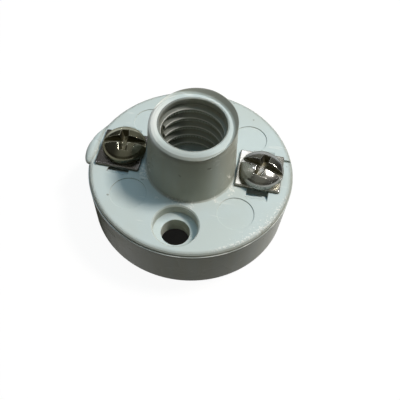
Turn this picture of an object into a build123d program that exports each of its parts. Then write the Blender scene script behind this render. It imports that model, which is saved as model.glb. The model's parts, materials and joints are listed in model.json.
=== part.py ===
from build123d import *
import os
from math import asin, cos, radians, sin, sqrt

# A small screw lampholder: a round moulded base with a collar that takes the lamp, two contacts and two terminals.
# It stands on Z = 0 with the lamp's axis on Z, its terminals along X and its fixing holes along Y. Millimetres.

# Base: a shallow round moulding, open underneath
base_d = 30.0               # at the ledge where the mould parts
base_draft = 0.25           # how far the wall leans in on the way down to the open foot
base_h = 8.3
rim_r = 0.5                 # rounding of the top edge
rim_step = 0.1              # width of the ledge under that rounding
rim_drop = 0.55             # from the top of the base down to the ledge
foot_chamfer = 0.3
skirt_wall = 1.2
plate_t = 2.8

# Collar: a tapered tube that rises from the base
collar_foot_d = 13.0
collar_top_d = 12.2
collar_rise = 9.2           # from the top of the base to the seat at the collar's mouth
collar_foot_chamfer = 0.2   # in the corner at its foot
collar_edge_r = 0.8         # rounding of the low part of its outer edge
edge_bevels = 3             # that stand for the rounding of an outer edge
mouth_land = 0.3            # least flat left between the socket's mouth and that rounding or the lip

# Crescent lip that stands round part of the mouth
lip_h = 0.75
lip_run = 0.8               # how far its inner slope leans out on the way up
lip_tuck = 0.03             # how far its foot starts inside the collar
lip_dir = 50.0              # degrees from +X to its widest place
lip_reach = 95.0            # degrees from there to each of its ends

# Socket for the lamp, plain at the bottom of the thread's groove
socket_d = 9.7
socket_depth = 10.2
floor_hole_d = 6.8          # lets the centre contact's tongue up

# Fixing holes
fix_spacing = 21.0
fix_hole_d = 4.1
fix_head_d = 6.3            # recess for the screw's head
fix_head_depth = 1.6
fix_head_dish = 0.3         # drop of the recess's dished floor
fix_head_chamfer = 0.2
fix_boss_wall = 1.5
fix_boss_drop = 1.6         # below the underside of the plate

# Terminals
terminal_y = 0.6            # from the middle of the base towards the back
screw_d = 3.0
screw_len = 8.0
screw_tip = 0.4
head_d = 6.4
head_h = 2.15
head_dome_r = 5.3
head_shoulder_r = 0.85      # between the dome and the head's side
head_chamfer = 0.15         # under the head
slot_w = 1.0
slot_depth = 1.4
cross_w = 1.3
cross_len = 4.0             # tip to tip
cross_depth = 1.6
cross_taper = 14.0          # degrees
left_turn = 8.0             # degrees from X to the driver slot
right_turn = -16.0
washer_w = 6.5
washer_t = 0.45
washer_hole_d = 4.3         # wide enough for the washer to lie off the screw's axis
left_washer_off = (-0.3, -0.3)
right_washer_off = (-0.2, 0.4)
washer_clear = 0.05         # beside the collar, which keeps the washer from turning
washer_corner_r = 0.25
washer_chamfer = 0.1
seat_gap = 0.05             # under a tightened washer, and under the head
nut_w = 5.5
nut_t = 1.8
screw_hole_clear = 0.15     # round the screw in the base and the contacts
nut_hole_clear = 0.05

# Wire channel under each clamp washer
channel_w = 3.1
channel_len = 9.0
channel_depth = 0.9
channel_ramp = 1.5

# Pocket under the plate that keeps each nut from turning
nut_clear = 0.25            # beside the nut
nut_skirt_clear = 0.2       # from the nut's outer corners to the skirt
rib_t = 1.2

# Contacts: bent strip
strip_t = 0.5
strip_w = 2.8
strip_clear = 0.15
pad_in = 2.8                # from the terminal's centre towards the collar
side_top = 2.5              # from the collar's seat down to the side contact's upper end
side_setback = 0.05         # of the side contact behind the socket's wall
tongue_rise = 1.25
tongue_run = 2.2
tongue_flat = 1.9

# Marks of the moulding
eject_d = 5.2
eject_depth = 0.12
eject_x = 7.7
eject_y = 6.8
vestige_d = 1.9             # gate vestige, a smooth swelling on the left of the rim
vestige_len = 5.0
vestige_y = -0.3
vestige_out = 0.8           # beyond the rim
vestige_up = 0.53           # above the top of the base
nick_w = 0.6                # notch across the right of the rim
nick_len = 1.9
nick_depth = 0.35
nick_y = 3.75

# Levels and radii that follow
plate_z = base_h - plate_t
seat_z = base_h + collar_rise
floor_z = seat_z - socket_depth
foot_r = base_d / 2 - base_draft
hollow_r = foot_r - skirt_wall
lip_w = (collar_top_d - socket_d) / 2 - mouth_land
edge_r = min(collar_edge_r, lip_w)
collar_lean = (collar_foot_d - collar_top_d) / 2 / (collar_rise - edge_r)
strip_z = plate_z - strip_t
nut_z = strip_z - nut_t
pocket_w = nut_w + 2 * nut_clear
pad_w = pocket_w - 2 * strip_clear
terminal_x = sqrt(hollow_r**2 - (nut_w / 2 + terminal_y) ** 2) - nut_skirt_clear - nut_w / 2
pad_out = sqrt(hollow_r**2 - (pad_w / 2 + terminal_y) ** 2) - nut_skirt_clear - terminal_x
side_x = socket_d / 2 + side_setback
left_spot, right_spot = (-terminal_x, terminal_y), (terminal_x, terminal_y)
left_washer_spot = (left_spot[0] + left_washer_off[0], left_spot[1] + left_washer_off[1])
right_washer_spot = (right_spot[0] + right_washer_off[0], right_spot[1] + right_washer_off[1])


def upright(radius, low, high, x=0.0, y=0.0):
    """A round bar along Z."""
    return Pos(x, y, low) * Cylinder(radius, high - low, align=(Align.CENTER, Align.CENTER, Align.MIN))


def block(x0, x1, y0, y1, z0, z1):
    """A box by its limits."""
    return Pos((x0 + x1) / 2, (y0 + y1) / 2, (z0 + z1) / 2) * Box(x1 - x0, y1 - y0, z1 - z0)


def turned(points):
    """A solid turned about Z from an outline in XZ."""
    return revolve(make_face(Polyline(*[(x, 0, z) for x, z in points], close=True)), Axis.Z)


def eased(x, z, radius):
    """The points of an outer edge at x, z, from its side up to its top, rounded by a few bevels."""
    angles = [radians(90 * i / edge_bevels) for i in range(edge_bevels + 1)]
    return [(x - radius * (1 - cos(a)), z - radius * (1 - sin(a))) for a in angles]


def base_and_collar():
    """Base, collar and socket, turned in one go."""
    part_r, part_z = base_d / 2, base_h - rim_drop
    rim = part_r - rim_step
    low, top = collar_foot_d / 2, collar_top_d / 2
    socket, hole = socket_d / 2, floor_hole_d / 2
    return turned([
        (hole, plate_z), (hollow_r, plate_z), (hollow_r, 0), (foot_r - foot_chamfer, 0), (foot_r, foot_chamfer),
        (part_r, part_z), (rim, part_z), *eased(rim, base_h, rim_r),
        (low + collar_foot_chamfer, base_h), (low, base_h + collar_foot_chamfer), *eased(top, seat_z, edge_r),
        (socket, seat_z), (socket, floor_z), (hole, floor_z),
    ])


def collar_lip():
    """What an off-centre flared plug leaves standing of a ring round the mouth."""
    top = collar_top_d / 2
    low_z, high_z = seat_z - edge_r, seat_z + lip_h
    low_r, high_r = top - lip_tuck, top - collar_lean * (edge_r + lip_h)
    inner = (socket_d / 2 + top - lip_w) / 2
    ring = turned([(inner, low_z), (low_r, low_z), (high_r, high_z), (inner, high_z)])
    # at the seat the plug leaves lip_w at lip_dir, and meets the collar's outside at lip_reach to either side
    near = top - lip_w
    shift = (top**2 - near**2) / (2 * near - 2 * top * cos(radians(lip_reach)))
    seat_r, flare = near + shift, lip_run / lip_h
    plug = turned([
        (0, low_z), (seat_r - flare * edge_r, low_z), (seat_r + lip_run, high_z), (0, high_z),
    ])
    return ring - Pos(-shift * cos(radians(lip_dir)), -shift * sin(radians(lip_dir)), 0) * plug


def fixing_bosses():
    """Short bosses round the fixing holes, on the underside of the plate."""
    boss = upright(fix_hole_d / 2 + fix_boss_wall, plate_z - fix_boss_drop, base_h - plate_t / 2)
    return [Pos(0, y, 0) * boss for y in (-fix_spacing / 2, fix_spacing / 2)]


def fixing_holes():
    """Stepped holes for wood screws, with a dished seat for the head."""
    head, hole = fix_head_d / 2, fix_hole_d / 2
    seat = base_h - fix_head_depth
    tool = turned([
        (0, 0), (hole, 0), (hole, seat - fix_head_dish), (head, seat), (head, base_h - fix_head_chamfer),
        (head + 2 * fix_head_chamfer, base_h + fix_head_chamfer), (0, base_h + fix_head_chamfer),
    ])
    return [Pos(0, y, 0) * tool for y in (-fix_spacing / 2, fix_spacing / 2)]


def wire_channel(x, y):
    """A trough along Y with ramped ends, in the top of the base."""
    front, back = y - channel_len / 2, y + channel_len / 2
    outline = Polyline(
        (x, front, base_h), (x, front + channel_ramp, base_h - channel_depth),
        (x, back - channel_ramp, base_h - channel_depth), (x, back, base_h),
        (x, back, base_h + channel_depth), (x, front, base_h + channel_depth), close=True,
    )
    return extrude(make_face(outline), channel_w / 2, dir=(1, 0, 0), both=True)


def washer_room(x, y):
    """Clear space for a clamp washer and its screw's head."""
    half = washer_w / 2 + washer_clear
    return block(x - half, x + half, y - half, y + half, base_h + seat_gap, seat_z + lip_h)


def nut_ribs():
    """Two ribs under the plate, one on each side of the right nut, that run out into the skirt."""
    inner = terminal_x - pad_in
    near, far = pocket_w / 2, pocket_w / 2 + rib_t
    sides = [(terminal_y + near, terminal_y + far), (terminal_y - far, terminal_y - near)]
    return [block(inner, hollow_r, y0, y1, nut_z, base_h - plate_t / 2) for y0, y1 in sides]


def side_slot():
    """Slot in the socket's left wall for the side contact, from the underside up and open to the floor's hole."""
    half = strip_w / 2 + strip_clear
    outer = side_x + strip_t + strip_clear
    return block(-outer, 0, -half, half, 0, seat_z - side_top + strip_clear)


def gate_vestige():
    """A smooth swelling on the left of the rim, longest along Y."""
    r = vestige_d / 2
    lump = scale(Sphere(r), by=(1, vestige_len / vestige_d, 1))
    return Pos(r - vestige_out - base_d / 2, vestige_y, base_h + vestige_up - r) * lump


def moulded_body():
    """The one moulding that carries everything else."""
    ribs = nut_ribs()
    body = base_and_collar() + collar_lip() + fixing_bosses() + gate_vestige()
    body += ribs + [mirror(rib, about=Plane.YZ) for rib in ribs]
    body -= [washer_room(*left_washer_spot), washer_room(*right_washer_spot)]
    body -= fixing_holes()
    body -= side_slot()
    for x, y in (left_spot, right_spot):
        body -= wire_channel(x, y)
        body -= upright(screw_d / 2 + screw_hole_clear, 0, base_h, x, y)
    marks = [(x, y) for x in (-eject_x, eject_x) for y in (-eject_y, eject_y)]
    body -= [upright(eject_d / 2, base_h - eject_depth, base_h + eject_depth, x, y) for x, y in marks]
    rim = base_d / 2
    nick_y0, nick_y1 = nick_y - nick_w / 2, nick_y + nick_w / 2
    body -= block(rim - nick_len, rim + nick_len, nick_y0, nick_y1, base_h - nick_depth, base_h + nick_depth)
    return body


def strip(points, width):
    """A bent strip: an outline in XZ made as wide as the strip along Y."""
    face = make_face(Polyline(*[(x, 0, z) for x, z in points], close=True))
    return extrude(face, width / 2, dir=(0, 1, 0), both=True)


def terminal_pad():
    """The wide end of the right contact, held between the plate and the nut."""
    near, far = terminal_y - pad_w / 2, terminal_y + pad_w / 2
    pad = block(terminal_x - pad_in, terminal_x + pad_out, near, far, strip_z, plate_z)
    return pad - upright(screw_d / 2 + screw_hole_clear, strip_z, plate_z, *right_spot)


def side_contact():
    """Left contact: from the terminal to the socket's wall, then up the slot beside the lamp's thread."""
    inner, outer = -side_x, -side_x - strip_t
    start = pad_in - terminal_x
    arm = strip([
        (start, strip_z), (inner, strip_z), (inner, seat_z - side_top), (outer, seat_z - side_top),
        (outer, plate_z), (start, plate_z),
    ], strip_w)
    return mirror(terminal_pad(), about=Plane.YZ) + arm


def centre_contact():
    """Right contact: from the terminal to the middle of the socket's floor, with a raised tongue."""
    start = terminal_x - pad_in
    bend = tongue_flat + tongue_run / 2
    end = bend - tongue_run
    arm = strip([
        (start, strip_z), (start, plate_z), (bend, plate_z), (end, plate_z + tongue_rise),
        (end - tongue_flat, plate_z + tongue_rise), (end - tongue_flat, strip_z + tongue_rise),
        (end, strip_z + tongue_rise), (bend, strip_z),
    ], strip_w)
    return terminal_pad() + arm


def clamp_washer(x, y):
    """A square washer that stays under its screw's head."""
    low = base_h + seat_gap
    plate = Pos(x, y, low + washer_t / 2) * Box(washer_w, washer_w, washer_t)
    plate = fillet(plate.edges().filter_by(Axis.Z), washer_corner_r)
    plate = chamfer(plate.faces().sort_by(Axis.Z)[-1].edges(), washer_chamfer)
    return plate - upright(washer_hole_d / 2, low, low + washer_t, x, y)


def terminal_screw(x, y, turn):
    """A pan-head screw with a driver slot and a cross recess."""
    shank, head = screw_d / 2, head_d / 2
    corner_z = head_h - (head_dome_r - sqrt(head_dome_r**2 - head**2))
    half = asin(head / head_dome_r) / 2
    crown_mid = (head_dome_r * sin(half), 0, head_h - head_dome_r * (1 - cos(half)))
    lines = Polyline(
        (0, 0, head_h), (0, 0, -screw_len), (shank - screw_tip, 0, -screw_len), (shank, 0, screw_tip - screw_len),
        (shank, 0, 0), (head - head_chamfer, 0, 0), (head, 0, head_chamfer), (head, 0, corner_z),
    )
    crown = ThreePointArc((head, 0, corner_z), crown_mid, (0, 0, head_h))
    profile = make_face([lines, crown])
    shoulder = profile.vertices().sort_by_distance(Vector(head, 0, corner_z))[0]
    screw = revolve(fillet(shoulder, head_shoulder_r), Axis.Z)
    screw -= block(-head, head, -slot_w / 2, slot_w / 2, head_h - slot_depth, head_h)
    wings = Rectangle(cross_len, cross_w) + Rectangle(cross_w, cross_len)
    screw -= extrude(Pos(0, 0, head_h) * wings, -cross_depth, taper=cross_taper)
    return Pos(x, y, base_h + 2 * seat_gap + washer_t) * Rot(Z=turn) * screw


def terminal_nut(x, y):
    """A square nut in its pocket, against the contact."""
    nut = Pos(x, y, nut_z + nut_t / 2) * Box(nut_w, nut_w, nut_t)
    return nut - upright(screw_d / 2 + nut_hole_clear, nut_z, strip_z, x, y)


parts = {
    "moulded_body": moulded_body(),
    "side_contact": side_contact(),
    "centre_contact": centre_contact(),
    "left_clamp_washer": clamp_washer(*left_washer_spot),
    "right_clamp_washer": clamp_washer(*right_washer_spot),
    "left_terminal_screw": terminal_screw(*left_spot, left_turn),
    "right_terminal_screw": terminal_screw(*right_spot, right_turn),
    "left_terminal_nut": terminal_nut(*left_spot),
    "right_terminal_nut": terminal_nut(*right_spot),
}

os.makedirs("parts", exist_ok=True)
for name, shape in parts.items():
    export_step(shape, f"parts/{name}.step")
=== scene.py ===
import json
import math

import bmesh
import bpy
from bpy.props import FloatProperty, FloatVectorProperty, IntProperty, PointerProperty
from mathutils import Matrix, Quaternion, Vector


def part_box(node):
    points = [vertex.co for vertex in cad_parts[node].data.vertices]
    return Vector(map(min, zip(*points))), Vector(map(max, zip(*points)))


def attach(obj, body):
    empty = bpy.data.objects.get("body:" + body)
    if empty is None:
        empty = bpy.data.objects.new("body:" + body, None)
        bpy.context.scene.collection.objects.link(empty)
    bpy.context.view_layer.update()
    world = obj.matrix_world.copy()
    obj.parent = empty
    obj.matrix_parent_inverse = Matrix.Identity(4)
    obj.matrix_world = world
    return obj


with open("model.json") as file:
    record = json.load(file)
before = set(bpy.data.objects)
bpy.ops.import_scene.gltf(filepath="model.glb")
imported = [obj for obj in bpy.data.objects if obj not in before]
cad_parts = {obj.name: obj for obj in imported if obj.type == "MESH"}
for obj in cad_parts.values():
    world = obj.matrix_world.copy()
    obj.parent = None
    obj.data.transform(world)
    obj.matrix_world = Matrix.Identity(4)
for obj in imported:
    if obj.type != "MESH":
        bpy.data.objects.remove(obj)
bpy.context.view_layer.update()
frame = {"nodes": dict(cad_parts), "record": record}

bl_info = {
    "name": "Small screw lampholder",
    "version": (1, 0, 0),
    "blender": (4, 5, 0),
    "location": "View3D > Sidebar > Lampholder",
    "description": "Finishes and a studio for a small moulded lampholder with screw terminals",
    "category": "Object",
}

MM = 0.001
mounts = {mount["name"]: mount for mount in frame["record"]["mounts"]}
socket = mounts["lamp_socket"]
socket_r = socket["dims"]["r_mm"] * MM
socket_length = socket["dims"]["length_mm"] * MM
socket_seat = socket["pos_m"][2] + socket_length / 2
contact_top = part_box("side_contact")[1].z


# Settings

def length(name, description, default):
    """A size in metres."""
    return FloatProperty(name=name, description=description, default=default, unit="LENGTH", precision=5)


def share(name, description, default):
    """A number from 0 to 1."""
    return FloatProperty(name=name, description=description, default=default, min=0, max=1, subtype="FACTOR")


def colour(name, description, default):
    """A colour, in linear light."""
    return FloatVectorProperty(name=name, description=description, default=default, size=3, min=0, max=1,
                               subtype="COLOR")


def angle(name, description, degrees):
    """An angle, given in degrees."""
    return FloatProperty(name=name, description=description, default=math.radians(degrees), unit="ROTATION")


def power(name, description, default):
    """A lamp's power in watts."""
    return FloatProperty(name=name, description=description, default=default, min=0, unit="POWER",
                         precision=4)


class MouldingSettings(bpy.types.PropertyGroup):
    """The moulded plastic."""
    base: colour("Plastic", "Colour of the moulded plastic", (0.545, 0.635, 0.64))
    # Painted shade: this colour stands in for the shade on upright walls, and also gives the tone where the
    # plastic flowed last.
    shade: colour("Wall shade", "Colour of the yellowed plastic on upright walls", (0.50, 0.53, 0.46))
    # This colour also gives painted shade in corners, on the lip, the rim band, the collar's foot, the
    # crown's front and all over the bore.
    soil_and_shade: colour("Soil", "Colour of the dirt in corners and scratches", (0.16, 0.15, 0.11))
    # Painted shade on the thread's left side.
    thread_left_shade: colour("Dark soil", "Colour of the dirt on the thread's left side", (0.085, 0.10, 0.095))
    # This colour also gives painted highlights: on worn edges, on the rim and the collar's foot, on the
    # crown's left side and along the thread's ridges.
    flash_and_highlight: colour("Flash", "Colour of thin plastic along the mould's parting line", (0.80, 0.83, 0.80))
    collar_foot: length("Collar's foot", "Radius of the collar where it meets the base", 6.5 * MM)
    parting: length("Parting height", "Height of the mould's parting line on the rim", 7.76 * MM)
    gloss: share("Roughness", "Roughness of the moulded surface", 0.28)
    specks: share("Specks", "How dark the small dark specks are", 0.55)


class MetalSettings(bpy.types.PropertyGroup):
    """The plated metal pieces."""
    nickel: colour("Nickel", "Colour of the right screw's bright plate", (0.52, 0.54, 0.54))
    # Painted shade: the left screw's plate is a darker, yellower copy of the right's.
    dull_nickel: colour("Dull nickel", "Colour of the left screw's dulled plate", (0.47, 0.48, 0.40))
    washer: colour("Washer plate", "Colour of the right washer's bright plate", (0.70, 0.70, 0.68))
    # Painted shade: the left washer's plate is a darker copy of the right's, which is lit.
    shaded_washer: colour("Dull washer plate", "Colour of the left washer's dulled plate", (0.34, 0.34, 0.37))
    contact: colour("Contact plate", "Colour of the plated contacts", (0.74, 0.71, 0.62))
    nut: colour("Nut plate", "Colour of the plated nuts", (0.60, 0.59, 0.55))
    # This colour also gives painted shade on sides and, with the film, in recesses.
    tarnish_and_shade: colour("Tarnish", "Colour of the film in recesses and on sides", (0.20, 0.19, 0.12))


class ThreadSettings(bpy.types.PropertyGroup):
    """The rounded thread in the socket."""
    pitch: length("Pitch", "From one ridge to the next", 1.814 * MM)
    crest: length("Crest radius", "Radius at the top of a ridge", 4.36 * MM)
    mouth: length("Mouth radius", "Radius of the plain mouth above the thread", 4.6 * MM)
    mouth_depth: length("Mouth depth", "Depth of the plain mouth", 0.75 * MM)
    run_in: length("Run-in", "Over which the thread rises below the mouth", 0.7 * MM)
    start: angle("Start", "Where the ridge stands at the seat's level", 150)
    columns: IntProperty(name="Columns", description="Faces round the socket", default=120, min=24)
    rows: IntProperty(name="Rows", description="Faces from one ridge to the next", default=16, min=6)


class GateSettings(bpy.types.PropertyGroup):
    """The web beside the gate's swelling on the rim."""
    rim: length("Rim radius", "Radius at which the web lies", 14.85 * MM)
    level: length("Level", "Height of the web's middle", 8.0 * MM)
    out: length("Width", "How far it stands out at its root", 0.72 * MM)
    tall: length("Height", "Half its height at its root", 0.62 * MM)
    start: angle("Start", "Direction of its root", 175.0)
    sweep: angle("Sweep", "How far it runs along the rim", 17.0)


class StageSettings(bpy.types.PropertyGroup):
    """Floor, lamps and camera."""
    floor: colour("Floor", "Colour that the floor throws back at the object", (0.03, 0.027, 0.02))
    key: power("Key", "Softbox on the right", 0.785)
    fill: power("Fill", "Cool light from above that metal doesn't mirror", 0.185)
    second: power("Second", "Small lamp behind on the left", 0.036)
    window: power("Window", "Bright panel that the right washer mirrors", 0.014)
    strip: power("Strip", "Thin lamp overhead", 0.008)
    glint: power("Glint", "Small low lamp at the front on the right", 0.012)
    sky: colour("Sky", "Light of the room", (0.112, 0.108, 0.088))
    focal: FloatProperty(name="Focal length", description="Camera's focal length", default=50.4,
                         unit="CAMERA")
    distance: length("Distance", "From the camera to the foot's centre", 89.0 * MM)
    azimuth: angle("Azimuth", "Camera's turn to the right of the front", 9.4)
    elevation: angle("Elevation", "Camera's height above the horizon", 56.2)
    roll: angle("Roll", "Turn of the picture, clockwise", 2.93)


class LampholderSettings(bpy.types.PropertyGroup):
    """Everything that a user would change."""
    moulding: PointerProperty(type=MouldingSettings, name="Moulding")
    metal: PointerProperty(type=MetalSettings, name="Metal")
    thread: PointerProperty(type=ThreadSettings, name="Thread")
    gate: PointerProperty(type=GateSettings, name="Gate")
    stage: PointerProperty(type=StageSettings, name="Stage")


# Node helpers

def put(tree, kind, sockets=None, **settings):
    """A new node with its settings, and each input set to a value or linked from an output."""
    new = tree.nodes.new(kind)
    for name, value in settings.items():
        setattr(new, name, value)
    for name, value in (sockets or {}).items():
        if isinstance(value, bpy.types.NodeSocket):
            tree.links.new(value, new.inputs[name])
        else:
            new.inputs[name].default_value = value
    return new


def calc(tree, operation, *values, clamp=False):
    """The result of a Math node."""
    sockets = dict(enumerate(values))
    return put(tree, "ShaderNodeMath", sockets, operation=operation, use_clamp=clamp).outputs[0]


def product(tree, first, *others):
    """Several values multiplied."""
    for other in others:
        first = calc(tree, "MULTIPLY", first, other)
    return first


def highest(tree, first, *others):
    """The highest of several values."""
    for other in others:
        first = calc(tree, "MAXIMUM", first, other)
    return first


def apart(tree, value, middle):
    """How far a value lies from a middle."""
    return calc(tree, "ABSOLUTE", calc(tree, "SUBTRACT", value, middle))


def vector_value(tree, operation, *vectors):
    """The number that a Vector Math node puts out."""
    return put(tree, "ShaderNodeVectorMath", dict(enumerate(vectors)), operation=operation).outputs["Value"]


def parts(tree, vector):
    """A vector's X, Y and Z."""
    return put(tree, "ShaderNodeSeparateXYZ", {0: vector}).outputs


def opaque(value):
    """A colour with alpha, or a socket as it is."""
    return value if isinstance(value, bpy.types.NodeSocket) else (*value, 1.0)


def toned(value, factor):
    """A colour made darker or lighter."""
    return tuple(min(1.0, factor * part) for part in value)


def mixed(tree, factor, first, second):
    """The colour between two colours."""
    sockets = {0: factor, 6: opaque(first), 7: opaque(second)}
    return put(tree, "ShaderNodeMix", sockets, data_type="RGBA").outputs[2]


def noise(tree, coordinates, scale, detail=2.0):
    """A noise texture's value."""
    sockets = {"Vector": coordinates, "Scale": scale, "Detail": detail}
    return put(tree, "ShaderNodeTexNoise", sockets).outputs["Fac"]


def ranged(tree, value, low, high, out_low=0.0, out_high=1.0):
    """A value taken smoothly from one range to another."""
    sockets = {"Value": value, "From Min": low, "From Max": high, "To Min": out_low, "To Max": out_high}
    return put(tree, "ShaderNodeMapRange", sockets, interpolation_type="SMOOTHSTEP").outputs["Result"]


def new_group(name, inputs, output):
    """An empty node group with float inputs (name, default) and one output."""
    group = bpy.data.node_groups.new(name, "ShaderNodeTree")
    for label, default in inputs:
        given = group.interface.new_socket(label, in_out="INPUT", socket_type="NodeSocketFloat")
        given.default_value = default
    group.interface.new_socket(output, in_out="OUTPUT", socket_type="NodeSocketFloat")
    return group, put(group, "NodeGroupInput").outputs, put(group, "NodeGroupOutput").inputs[output]


def placed(tree, group, **sockets):
    """A node group placed in a material."""
    return put(tree, "ShaderNodeGroup", sockets, node_tree=group).outputs


def object_space(tree):
    """Coordinates in the object's own frame, in metres."""
    return put(tree, "ShaderNodeTexCoord").outputs["Object"]


def upright(tree, level, wall):
    """How upright a face is: 0 where its normal's Z is at or above level, 1 at or below wall."""
    normal = put(tree, "ShaderNodeNewGeometry").outputs["Normal"]
    return ranged(tree, parts(tree, normal)["Z"], level, wall)


# Effects that several finishes share

def scratches_group():
    """Fine straight scratches in a few directions, as a mask."""
    group, given, mask = new_group("Fine scratches", [("Spacing", 1.0 * MM), ("Amount", 0.5)], "Mask")
    where = object_space(group)
    density = calc(group, "DIVIDE", 1.0, given["Spacing"])
    sets = []
    for turn, stretch in ((0.5, 0.05), (1.9, 0.08), (2.7, 0.04)):
        turned = put(group, "ShaderNodeMapping", {"Vector": where, "Rotation": (0.3 * turn, 0.2, turn),
                                                  "Scale": (stretch, 1.0, 1.0)}).outputs["Vector"]
        sets.append(ranged(group, noise(group, turned, density, 1.0), 0.68, 0.74))
    patches = ranged(group, noise(group, where, 260.0), 0.48, 0.66)
    group.links.new(product(group, highest(group, *sets), patches, given["Amount"]), mask)
    return group


def grime_and_shade_group():
    """Dirt, with painted shade, in corners and recesses, as a mask."""
    inputs = [("Reach", 0.6 * MM), ("Open", 0.75), ("Amount", 0.5)]
    group, given, mask = new_group("Settled grime and shade", inputs, "Mask")
    hidden = put(group, "ShaderNodeAmbientOcclusion", {"Distance": given["Reach"]}, samples=6).outputs["AO"]
    corner = ranged(group, hidden, given["Open"], calc(group, "SUBTRACT", given["Open"], 0.5))
    broken = ranged(group, noise(group, object_space(group), 1400.0, 3.0), 0.3, 0.62, 0.35, 1.0)
    group.links.new(product(group, corner, broken, given["Amount"]), mask)
    return group


def edge_wear_and_highlight_group():
    """Edges worn by handling, also lightened as painted highlights, as a mask."""
    group, given, mask = new_group("Rubbed and highlighted edges", [("Width", 0.12 * MM), ("Amount", 0.5)], "Mask")
    soft = put(group, "ShaderNodeBevel", {"Radius": given["Width"]}, samples=4).outputs["Normal"]
    true = put(group, "ShaderNodeNewGeometry").outputs["Normal"]
    edge = ranged(group, vector_value(group, "DOT_PRODUCT", soft, true), 0.995, 0.9)
    broken = ranged(group, noise(group, object_space(group), 900.0), 0.35, 0.6, 0.3, 1.0)
    group.links.new(product(group, edge, broken, given["Amount"]), mask)
    return group


def effect(name):
    """A shared effect, built the first time it is asked for."""
    makers = {"Fine scratches": scratches_group, "Settled grime and shade": grime_and_shade_group, "Rubbed and highlighted edges": edge_wear_and_highlight_group}
    return bpy.data.node_groups.get(name) or makers[name]()


# Finishes

def finish(name, **constants):
    """A material with one Principled shader whose plain sockets are set directly."""
    material = bpy.data.materials.new(name)
    material.use_nodes = True
    shader = material.node_tree.nodes["Principled BSDF"]
    for label, value in constants.items():
        shader.inputs[label.replace("_", " ")].default_value = value
    return material, material.node_tree, shader.inputs


def softened(tree, radius, height, distance, strength):
    """A normal with slightly rounded edges and a fine relief."""
    edge = put(tree, "ShaderNodeBevel", {"Radius": radius}, samples=8).outputs["Normal"]
    sockets = {"Height": height, "Normal": edge, "Distance": distance, "Strength": strength}
    return put(tree, "ShaderNodeBump", sockets).outputs["Normal"]


def scuffs_and_glints(tree, look, where, reach):
    """White flecks on the rim at the front on the right and round the collar's foot, partly scuffing and
    partly painted glints, as a mask.
    """
    fleck_way = (0.79, -0.61, 0.0)
    rim_corner = 14.35 * MM
    foot_middle = look.collar_foot + 0.6 * MM
    plate_top = look.parting + 0.4 * MM
    height = parts(tree, where)["Z"]
    towards_flecks = vector_value(tree, "DOT_PRODUCT", where, fleck_way)
    front_right_rim = ranged(tree, towards_flecks, 11.8 * MM, 13.8 * MM, 0.0, 0.9)
    front_right_rim = product(tree, front_right_rim, ranged(tree, height, look.parting, look.parting + 0.3 * MM))
    on_plate = ranged(tree, height, plate_top, plate_top + 0.1 * MM)
    near_plate = ranged(tree, height, plate_top + 1.0 * MM, plate_top + 0.4 * MM)
    near_foot = ranged(tree, apart(tree, reach, foot_middle), 1.1 * MM, 0.3 * MM)
    patches = ranged(tree, noise(tree, where, 240.0), 0.44, 0.56, 0.0, 0.9)
    foot = product(tree, near_foot, near_plate, on_plate, patches)
    on_corner = ranged(tree, apart(tree, reach, rim_corner), 0.5 * MM, 0.1 * MM, 0.0, 0.11)
    dense = highest(tree, on_corner, product(tree, foot, 0.14))
    flecks = ranged(tree, calc(tree, "ADD", noise(tree, where, 3600.0, 3.0), dense), 0.6, 0.7)
    return product(tree, flecks, highest(tree, front_right_rim, foot))


def skin_and_painted_light(tree, look, where, flow, scratches_scuffs_and_glints):
    """The plastic's colour under its dirt: painted shade on upright walls with the flow's tone, worn edges
    with painted highlights, scratches, white flecks with painted glints, and a crown with painted light on
    its left and painted shade at its front.
    """
    place = parts(tree, where)
    edge_wear_and_highlight = placed(tree, effect("Rubbed and highlighted edges"), Width=0.12 * MM, Amount=0.35)["Mask"]
    drawn = put(tree, "ShaderNodeMapping", {"Vector": where, "Scale": (1.0, 1.0, 0.05)}).outputs["Vector"]
    streaks = ranged(tree, noise(tree, drawn, 420.0), 0.3, 0.7, 0.65, 1.0)
    wall = product(tree, upright(tree, 0.95, 0.5), streaks)
    # Painted shade on upright walls, in streaks, with a share of the flow's tone.
    skin = mixed(tree, highest(tree, wall, product(tree, flow, 0.25)), look.base, look.shade)
    # Worn edges, lightened also as painted highlights.
    skin = mixed(tree, product(tree, edge_wear_and_highlight, 0.5), skin, look.flash_and_highlight)
    # Scratches, and white flecks that are partly scuffing and partly painted glints.
    skin = mixed(tree, scratches_scuffs_and_glints, skin, look.flash_and_highlight)
    # Painted light on the crown's left side and painted shade at its front.
    crown = ranged(tree, place["Z"], socket_seat - 1.4 * MM, socket_seat - 0.4 * MM)
    pale = product(tree, ranged(tree, place["X"], -2.8 * MM, -5.6 * MM, 0.0, 0.9), crown)
    front_crown_shade = product(tree, ranged(tree, place["Y"], -3.0 * MM, -6.2 * MM, 0.0, 0.4), crown)
    skin = mixed(tree, pale, skin, look.flash_and_highlight)
    return mixed(tree, front_crown_shade, skin, look.soil_and_shade)


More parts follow.
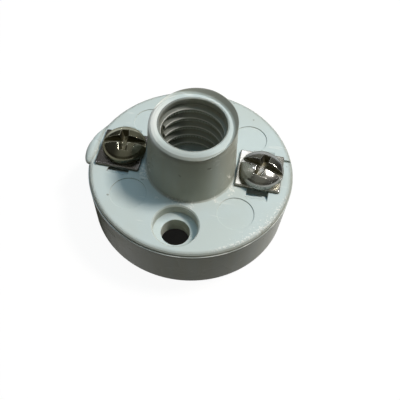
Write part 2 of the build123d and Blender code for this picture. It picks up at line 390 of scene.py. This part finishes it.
def soil_and_shade_mask(tree, look, where, reach, corners, overall_shade):
    """Dirt and painted shade in corners, dark specks, and painted shade on the lip, the rim band, the collar
    towards its foot and, by a given share, all over, as a mask.
    """
    place = parts(tree, where)
    # Dirt and painted shade in corners.
    grime_and_shade = placed(tree, effect("Settled grime and shade"), Reach=0.5 * MM, Amount=corners)["Mask"]
    speck = ranged(tree, noise(tree, where, 620.0, 1.0), 0.745, 0.775, 0.0, look.specks)
    # Painted shade on the lip above the seat.
    lip = ranged(tree, place["Z"], socket_seat + 0.05 * MM, socket_seat + 0.3 * MM, 0.0, 0.7)
    # Painted shade on the rim band above the parting line, away from the gate.
    above_line = ranged(tree, place["Z"], look.parting - 0.7 * MM, look.parting - 0.1 * MM, 0.08, 1.0)
    off_gate = ranged(tree, place["X"], -14.7 * MM, -14.2 * MM)
    rim = product(tree, ranged(tree, reach, 14.1 * MM, 14.7 * MM, 0.0, 0.42), above_line, off_gate)
    # Painted shade on the collar, darker towards its foot.
    off_socket = ranged(tree, reach, 5.6 * MM, 6.0 * MM)
    off_plate = ranged(tree, reach, 6.9 * MM, 6.6 * MM)
    collar = product(tree, ranged(tree, place["Z"], 13.5 * MM, 8.7 * MM, 0.0, 0.24), off_socket, off_plate)
    # The given share darkens everywhere, as painted shade in the bore.
    return highest(tree, grime_and_shade, speck, lip, rim, collar, overall_shade)


def parting_flash(tree, where, off_line):
    """A thin pale line at the mould's parting, whole on the left and torn elsewhere, as a mask."""
    torn = ranged(tree, noise(tree, where, 380.0), 0.42, 0.62, 0.0, 0.55)
    whole = ranged(tree, parts(tree, where)["X"], -6.0 * MM, -9.0 * MM, 0.0, 0.7)
    return product(tree, ranged(tree, off_line, 0.13 * MM, 0.05 * MM), highest(tree, torn, whole))


def edge_rounding(tree, height, off_line):
    """The radius that edges are softened to: small at the parting line, large at the collar's top edge."""
    off_edge = apart(tree, height, socket_seat - 0.8 * MM)
    plain = ranged(tree, off_line, 0.2 * MM, 0.6 * MM, 0.02 * MM, 0.13 * MM)
    return calc(tree, "ADD", plain, ranged(tree, off_edge, 0.6 * MM, 0.2 * MM, 0.0, 0.2 * MM))


def moulded_plastic(name, look, corners, overall_shade, crest=0.0):
    """Pale moulded plastic, worn and dirty, with painted shade and painted light in places. With a crest
    radius it is the thread's, with painted shade on its left side and a painted highlight along the ridge.
    """
    clean_specular = 0.07
    material, tree, shader = finish(name, IOR=1.5)
    where = object_space(tree)
    place = parts(tree, where)
    flat = put(tree, "ShaderNodeVectorMath", {0: (1.0, 1.0, 0.0), 1: where}, operation="MULTIPLY")
    reach = vector_value(tree, "LENGTH", flat.outputs["Vector"])
    off_line = apart(tree, place["Z"], look.parting)
    flow = ranged(tree, noise(tree, where, 110.0, 3.0), 0.38, 0.66)
    scratch = placed(tree, effect("Fine scratches"), Spacing=0.6 * MM, Amount=0.9)["Mask"]
    scratches_scuffs_and_glints = highest(tree, scuffs_and_glints(tree, look, where, reach), product(tree, scratch, 0.6))
    skin = skin_and_painted_light(tree, look, where, flow, scratches_scuffs_and_glints)
    skin = mixed(tree, soil_and_shade_mask(tree, look, where, reach, corners, overall_shade), skin, look.soil_and_shade)
    skin = mixed(tree, parting_flash(tree, where, off_line), skin, look.flash_and_highlight)
    if crest:
        # Painted shade on the thread's left side.
        left = ranged(tree, place["X"], -1.0 * MM, -3.5 * MM, 0.0, 0.65)
        # A painted highlight along each ridge.
        ridge = ranged(tree, reach, crest + 0.12 * MM, crest + 0.03 * MM, 0.0, 0.75)
        skin = mixed(tree, left, skin, look.thread_left_shade)
        skin = mixed(tree, ridge, skin, look.flash_and_highlight)
    tree.links.new(skin, shader["Base Color"])
    below_line = ranged(tree, place["Z"], look.parting - 0.1 * MM, look.parting - 0.6 * MM)
    dusty = product(tree, ranged(tree, place["X"], -3.0 * MM, -11.8 * MM), below_line)
    tree.links.new(ranged(tree, dusty, 0.0, 1.0, clean_specular, 0.0), shader["Specular IOR Level"])
    sheen = calc(tree, "ADD", look.gloss - 0.06, product(tree, flow, 0.12))
    rough = calc(tree, "ADD", sheen, product(tree, scratch, 0.2), clamp=True)
    tree.links.new(rough, shader["Roughness"])
    peel = calc(tree, "ADD", noise(tree, where, 900.0), product(tree, noise(tree, where, 4200.0), 0.35))
    relief = calc(tree, "SUBTRACT", peel, product(tree, scratch, 0.6))
    rounding = edge_rounding(tree, place["Z"], off_line)
    tree.links.new(softened(tree, rounding, relief, 0.03 * MM, 0.25), shader["Normal"])
    return material


def plated_metal(name, plate, tarnish_and_shade, rough, film, sides, level=0.82):
    """Bright plated metal with fine scratches, a dark film with painted shade in recesses, painted shade on
    faces that aren't level, and worn edges lightened as painted highlights.
    """
    material, tree, shader = finish(name, Metallic=1.0, Specular_Tint=(0.4, 0.4, 0.36, 1.0))
    where = object_space(tree)
    scratch = placed(tree, effect("Fine scratches"), Spacing=0.3 * MM, Amount=0.8)["Mask"]
    grime_and_shade = placed(tree, effect("Settled grime and shade"), Reach=1.2 * MM, Open=0.92, Amount=film)["Mask"]
    edge_wear_and_highlight = placed(tree, effect("Rubbed and highlighted edges"), Width=0.16 * MM, Amount=0.9)["Mask"]
    cloud = ranged(tree, noise(tree, where, 420.0, 3.0), 0.35, 0.7)
    wall = upright(tree, level, level - 0.2)
    face = mixed(tree, product(tree, cloud, 0.5), plate, toned(plate, 0.55))
    # Painted shade on faces that aren't level.
    face = mixed(tree, product(tree, wall, sides), face, toned(tarnish_and_shade, 0.55))
    # Film with painted shade in recesses.
    face = mixed(tree, grime_and_shade, face, tarnish_and_shade)
    # Worn edges, lightened also as painted highlights.
    face = mixed(tree, product(tree, edge_wear_and_highlight, 0.8), face, toned(plate, 1.8))
    tree.links.new(face, shader["Base Color"])
    dull = calc(tree, "ADD", rough, product(tree, cloud, 0.05))
    dull = calc(tree, "ADD", dull, product(tree, scratch, 0.18))
    dull = calc(tree, "ADD", dull, product(tree, wall, 0.2 * sides))
    dull = calc(tree, "ADD", dull, product(tree, grime_and_shade, 0.5), clamp=True)
    tree.links.new(dull, shader["Roughness"])
    relief = calc(tree, "SUBTRACT", noise(tree, where, 800.0), product(tree, scratch, 0.5))
    tree.links.new(softened(tree, 0.16 * MM, relief, 0.04 * MM, 0.32), shader["Normal"])
    return material


def dress(node, material):
    """Gives a solid its finish."""
    piece = frame["nodes"][node]
    piece.data.materials.clear()
    piece.data.materials.append(material)


def solid_object(name, mesh):
    """An object from a closed mesh, shaded smooth except at sharp edges."""
    bmesh.ops.recalc_face_normals(mesh, faces=mesh.faces)
    for face in mesh.faces:
        face.smooth = True
    data = bpy.data.meshes.new(name)
    mesh.to_mesh(data)
    mesh.free()
    data.set_sharp_from_angle(angle=math.radians(50))
    piece = bpy.data.objects.new(name, data)
    bpy.context.scene.collection.objects.link(piece)
    return piece


# Thread in the socket

def smooth(value):
    """From 0 to 1, with level ends."""
    value = min(max(value, 0.0), 1.0)
    return value * value * (3 - 2 * value)


def thread_radius(size, turn, depth):
    """Radius of the threaded wall at an angle and a depth below the seat."""
    sharpness = 2.2
    round_over = socket_r - size.mouth
    if depth < round_over:
        return size.mouth + round_over - math.sqrt(max(0.0, round_over**2 - (round_over - depth)**2))
    below_mouth = smooth((depth - size.mouth_depth) / size.run_in)
    above_floor = smooth((socket_length - depth) / size.run_in)
    wave = 0.5 + 0.5 * math.cos(2 * math.pi * depth / size.pitch + turn - size.start)
    groove = size.mouth + round_over * below_mouth
    return groove - below_mouth * above_floor * (socket_r - size.crest) * wave**sharpness


def thread_sleeve(size):
    """The threaded skin of the socket, closed, with a gap for the side contact."""
    gap_half = 1.55 * MM
    gap_top = contact_top + 0.15 * MM
    gap_columns = 8
    mouth_rows = 6
    outside = socket_r + 0.01 * MM
    edge = math.asin(gap_half / socket_r)
    turns = [math.pi + edge + (2 * math.pi - 2 * edge) * i / size.columns for i in range(size.columns + 1)]
    gap = [math.pi - edge + 2 * edge * i / gap_columns for i in range(1, gap_columns)]
    around = turns + gap
    step = size.pitch / size.rows
    fine = (socket_r - size.mouth) / mouth_rows
    depths = [fine * i for i in range(mouth_rows)]
    depth = depths[-1] + fine
    while depth < socket_length - step / 2:
        depths.append(depth)
        depth += step
    depths.append(socket_length)
    gap_row = min(range(len(depths)), key=lambda i: abs(socket_seat - depths[i] - gap_top))
    depths[gap_row] = socket_seat - gap_top
    mesh = bmesh.new()

    def point(turn, depth, radius):
        return mesh.verts.new((radius * math.cos(turn), radius * math.sin(turn), socket_seat - depth))

    inner = [[point(t, d, thread_radius(size, t, d)) for t in around] for d in depths]
    outer = [[point(t, d, outside) for t in around] for d in depths]
    columns = len(around)
    kept = set()
    for row in range(len(depths) - 1):
        for column in range(columns):
            if row < gap_row or column < len(turns) - 1:
                kept.add((row, column))
    for row, column in kept:
        beside = (column + 1) % columns
        a, b = inner[row][column], inner[row][beside]
        c, d = inner[row + 1][beside], inner[row + 1][column]
        mesh.faces.new((a, d, c, b))
        e, f = outer[row][column], outer[row][beside]
        g, h = outer[row + 1][beside], outer[row + 1][column]
        mesh.faces.new((e, f, g, h))
        if (row - 1, column) not in kept:
            mesh.faces.new((a, b, f, e))
        if (row + 1, column) not in kept:
            mesh.faces.new((d, h, g, c))
        if (row, (column - 1) % columns) not in kept:
            mesh.faces.new((a, e, h, d))
        if (row, beside) not in kept:
            mesh.faces.new((b, c, g, f))
    bmesh.ops.delete(mesh, geom=[v for v in mesh.verts if not v.link_faces], context="VERTS")
    return solid_object("socket_thread", mesh)


# Gate

def gate_web(size):
    """A tapering web of plastic that leads from the gate's swelling back along the rim."""
    slices = 24
    sides = 16
    mesh = bmesh.new()
    rings = []
    for i in range(slices):
        along = i / slices
        thick = 1 - smooth(along)
        turn = size.start - size.sweep * along
        ring = []
        for j in range(sides):
            around = 2 * math.pi * j / sides
            out = size.rim + size.out * thick * math.cos(around)
            height = size.level + size.tall * thick * math.sin(around)
            ring.append(mesh.verts.new((out * math.cos(turn), out * math.sin(turn), height)))
        rings.append(ring)
    last = size.start - size.sweep
    tip = mesh.verts.new((size.rim * math.cos(last), size.rim * math.sin(last), size.level))
    mesh.faces.new(rings[0])
    for first, second in zip(rings, rings[1:]):
        for j in range(sides):
            beside = (j + 1) % sides
            mesh.faces.new((first[j], first[beside], second[beside], second[j]))
    for j in range(sides):
        mesh.faces.new((rings[-1][j], rings[-1][(j + 1) % sides], tip))
    return solid_object("gate_web", mesh)


# Stage

def direction(azimuth, elevation):
    """A direction, with azimuth 0 to the front and positive to the right."""
    flat = math.cos(elevation)
    return Vector((math.sin(azimuth) * flat, -math.cos(azimuth) * flat, math.sin(elevation)))


def softbox(name, azimuth, elevation, away, width, height, watts, tint=(1.0, 1.0, 1.0)):
    """A flat lamp that faces the object. The two angles are in degrees and the sizes in metres."""
    lamp = bpy.data.lights.new(name, "AREA")
    lamp.shape = "RECTANGLE"
    lamp.size = width
    lamp.size_y = height
    lamp.energy = watts
    lamp.color = tint
    holder = bpy.data.objects.new(name, lamp)
    bpy.context.scene.collection.objects.link(holder)
    toward = direction(math.radians(azimuth), math.radians(elevation))
    holder.location = toward * away
    holder.rotation_mode = "QUATERNION"
    holder.rotation_quaternion = (-toward).to_track_quat("-Z", "Y")
    return holder


def seen_rays(tree):
    """The kinds of ray, and a mask of those by which the eye sees a thing, straight or in a mirror."""
    rays = put(tree, "ShaderNodeLightPath").outputs
    seen = calc(tree, "ADD", rays["Is Camera Ray"], rays["Is Glossy Ray"])
    return rays, calc(tree, "ADD", seen, rays["Is Transmission Ray"], clamp=True)


def floor(look):
    """A wide pale floor that is white to the eye, keeps the object's shadow, glows faintly under the object
    as painted light and is clear from below.
    """
    half = 1.5
    foot = 14.2 * MM
    under_paint = (0.10, 0.095, 0.08)
    # Painted light: a faint glow on the floor under the object, seen through its holes.
    under_painted_glow = 0.0075
    white_paint = (0.95, 0.95, 0.95)
    corners = [(-half, -half, 0), (half, -half, 0), (half, half, 0), (-half, half, 0)]
    data = bpy.data.meshes.new("floor")
    data.from_pydata(corners, [], [(0, 1, 2, 3)])
    plane = bpy.data.objects.new("floor", data)
    bpy.context.scene.collection.objects.link(plane)
    material = bpy.data.materials.new("Pale floor")
    material.use_nodes = True
    tree = material.node_tree
    tree.nodes.clear()
    rays, seen = seen_rays(tree)
    spot = vector_value(tree, "LENGTH", object_space(tree))
    seen = product(tree, seen, calc(tree, "GREATER_THAN", spot, foot))
    under = calc(tree, "LESS_THAN", spot, foot)
    paint = mixed(tree, under, look.floor, under_paint)
    paint = mixed(tree, seen, paint, white_paint)
    plain = put(tree, "ShaderNodeBsdfDiffuse", {"Color": paint}).outputs["BSDF"]
    glow = put(tree, "ShaderNodeEmission", {"Strength": 1.02}).outputs["Emission"]
    white = product(tree, seen, ranged(tree, spot, 60 * MM, 200 * MM, 0.92, 0.99))
    white = highest(tree, white, product(tree, under, under_painted_glow))
    above = put(tree, "ShaderNodeMixShader", {0: white, 1: plain, 2: glow}).outputs["Shader"]
    clear = put(tree, "ShaderNodeBsdfTransparent").outputs["BSDF"]
    back = put(tree, "ShaderNodeNewGeometry").outputs["Backfacing"]
    from_below = product(tree, back, rays["Is Camera Ray"])
    shown = put(tree, "ShaderNodeMixShader", {0: from_below, 1: above, 2: clear}).outputs["Shader"]
    put(tree, "ShaderNodeOutputMaterial", {"Surface": shown})
    data.materials.append(material)


def room(look):
    """A dim room with a pale wall near the horizon, brighter in mirrors to the front and back."""
    world = bpy.data.worlds.new("Room")
    bpy.context.scene.world = world
    world.use_nodes = True
    tree = world.node_tree
    tree.nodes.clear()
    rays, seen = seen_rays(tree)
    way = parts(tree, put(tree, "ShaderNodeTexCoord").outputs["Generated"])
    low = product(tree, seen, ranged(tree, way["Z"], 0.14, 0.07))
    wall = highest(tree, low, rays["Is Camera Ray"])
    aside = ranged(tree, calc(tree, "ABSOLUTE", way["X"]), 0.12, 0.6)
    mirrored = mixed(tree, aside, toned(look.sky, 1.7), toned(look.sky, 0.4))
    sky = mixed(tree, rays["Is Glossy Ray"], look.sky, mirrored)
    tint = mixed(tree, wall, sky, (1.0, 1.0, 1.0))
    back = put(tree, "ShaderNodeBackground", {"Color": tint, "Strength": 1.0}).outputs["Background"]
    put(tree, "ShaderNodeOutputWorld", {"Surface": back})


def camera(look):
    """The photograph's viewpoint."""
    lens = bpy.data.cameras.new("camera")
    lens.lens = look.focal
    lens.sensor_width = 36.0
    lens.clip_start = 2 * MM
    lens.shift_x = 0.0262
    lens.shift_y = -0.0085
    eye = bpy.data.objects.new("camera", lens)
    bpy.context.scene.collection.objects.link(eye)
    toward = direction(look.azimuth, look.elevation)
    eye.location = toward * look.distance
    eye.rotation_mode = "QUATERNION"
    eye.rotation_quaternion = (-toward).to_track_quat("-Z", "Y") @ Quaternion((0, 0, 1), look.roll)
    bpy.context.scene.camera = eye


# Operators

class LAMPHOLDER_OT_moulding(bpy.types.Operator):
    """Finish the moulded body"""
    bl_idname = "lampholder.moulding"
    bl_label = "Moulded body"

    def execute(self, context):
        look = context.scene.lampholder.moulding
        dress("moulded_body", moulded_plastic("Moulded plastic", look, corners=0.32, overall_shade=0.0))
        return {"FINISHED"}


class LAMPHOLDER_OT_thread(bpy.types.Operator):
    """Cut the rounded thread into the socket"""
    bl_idname = "lampholder.thread"
    bl_label = "Socket thread"

    def execute(self, context):
        look = context.scene.lampholder.moulding
        size = context.scene.lampholder.thread
        # The thread's plastic takes painted shade all over in the bore.
        plastic = moulded_plastic("Shaded plastic thread", look, corners=0.15, overall_shade=0.43, crest=size.crest)
        sleeve = thread_sleeve(size)
        sleeve.data.materials.append(plastic)
        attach(sleeve, "holder")
        return {"FINISHED"}


class LAMPHOLDER_OT_gate(bpy.types.Operator):
    """Add the web beside the gate's swelling, in the body's plastic"""
    bl_idname = "lampholder.gate"
    bl_label = "Gate web"

    def execute(self, context):
        web = gate_web(context.scene.lampholder.gate)
        web.data.materials.append(bpy.data.materials["Moulded plastic"])
        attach(web, "holder")
        return {"FINISHED"}


class LAMPHOLDER_OT_contacts(bpy.types.Operator):
    """Finish the side contact and the centre contact"""
    bl_idname = "lampholder.contacts"
    bl_label = "Contacts"

    def execute(self, context):
        look = context.scene.lampholder.metal
        strip = plated_metal("Plated contact strip", look.contact, look.tarnish_and_shade,
                             rough=0.42, film=0.1, sides=0.0)
        for node in ("side_contact", "centre_contact"):
            dress(node, strip)
        return {"FINISHED"}


class LAMPHOLDER_OT_terminals(bpy.types.Operator):
    """Finish the terminal screws, clamp washers and nuts"""
    bl_idname = "lampholder.terminals"
    bl_label = "Terminals"

    def execute(self, context):
        look = context.scene.lampholder.metal
        # Name, plate, roughness, film with painted shade in recesses, painted shade on sides, and how level a
        # face is to stay bare
        finishes = {
            "left_terminal_screw": ("Dull nickel screw", look.dull_nickel, 0.07, 0.9, 0.9, 0.95),
            "right_terminal_screw": ("Bright nickel screw", look.nickel, 0.15, 1.1, 0.5, 0.92),
            "left_clamp_washer": ("Dull plated washer", look.shaded_washer, 0.16, 0.3, 0.9, 0.82),
            "right_clamp_washer": ("Bright plated washer", look.washer, 0.14, 0.4, 0.9, 0.82),
        }
        for node, (name, plate, *rest) in finishes.items():
            dress(node, plated_metal(name, plate, look.tarnish_and_shade, *rest))
        nut = plated_metal("Satin plated nut", look.nut, look.tarnish_and_shade, rough=0.3, film=0.4, sides=0.0)
        for side in ("left", "right"):
            dress(f"{side}_terminal_nut", nut)
        return {"FINISHED"}


class LAMPHOLDER_OT_stage(bpy.types.Operator):
    """Set up the floor, the lamps, the room and the camera"""
    bl_idname = "lampholder.stage"
    bl_label = "Stage"

    def execute(self, context):
        look = context.scene.lampholder.stage
        warm = (1.0, 0.92, 0.85)
        cool = (0.36, 0.72, 1.0)
        floor(look)
        softbox("key", 117, 60, 0.30, 0.06, 0.06, look.key, warm)
        softbox("fill", 180, 82, 0.32, 0.24, 0.09, look.fill, cool).visible_glossy = False
        softbox("second", -125, 61, 0.30, 0.045, 0.045, look.second)
        softbox("window", 182, 54, 0.25, 0.05, 0.04, look.window)
        softbox("strip", 180, 82, 0.32, 0.12, 0.02, look.strip)
        softbox("glint", 60, 30, 0.30, 0.02, 0.02, look.glint)
        room(look)
        camera(look)
        context.scene.view_settings.view_transform = "Standard"
        return {"FINISHED"}


class LAMPHOLDER_PT_panel(bpy.types.Panel):
    """Lists the lampholder's steps and settings"""
    bl_idname = "LAMPHOLDER_PT_panel"
    bl_label = "Lampholder"
    bl_space_type = "VIEW_3D"
    bl_region_type = "UI"
    bl_category = "Lampholder"

    def draw(self, context):
        settings = context.scene.lampholder
        for step in steps:
            self.layout.operator(step.bl_idname)
        for part in (settings.moulding, settings.metal, settings.thread, settings.gate, settings.stage):
            box = self.layout.box()
            for name in part.__annotations__:
                box.prop(part, name)


steps = (
    LAMPHOLDER_OT_moulding, LAMPHOLDER_OT_thread, LAMPHOLDER_OT_gate, LAMPHOLDER_OT_contacts,
    LAMPHOLDER_OT_terminals, LAMPHOLDER_OT_stage,
)
classes = (
    MouldingSettings, MetalSettings, ThreadSettings, GateSettings, StageSettings, LampholderSettings, *steps,
    LAMPHOLDER_PT_panel,
)


def register():
    """Makes the settings, steps and panel known to Blender."""
    for item in classes:
        bpy.utils.register_class(item)
    bpy.types.Scene.lampholder = PointerProperty(type=LampholderSettings)


def unregister():
    """Takes them away again."""
    del bpy.types.Scene.lampholder
    for item in reversed(classes):
        bpy.utils.unregister_class(item)


def main():
    """Dresses the solids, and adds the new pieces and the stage."""
    register()
    bpy.ops.lampholder.moulding()
    bpy.ops.lampholder.thread()
    bpy.ops.lampholder.gate()
    bpy.ops.lampholder.contacts()
    bpy.ops.lampholder.terminals()
    bpy.ops.lampholder.stage()
    bpy.context.view_layer.update()


if __name__ == "__main__":
    main()
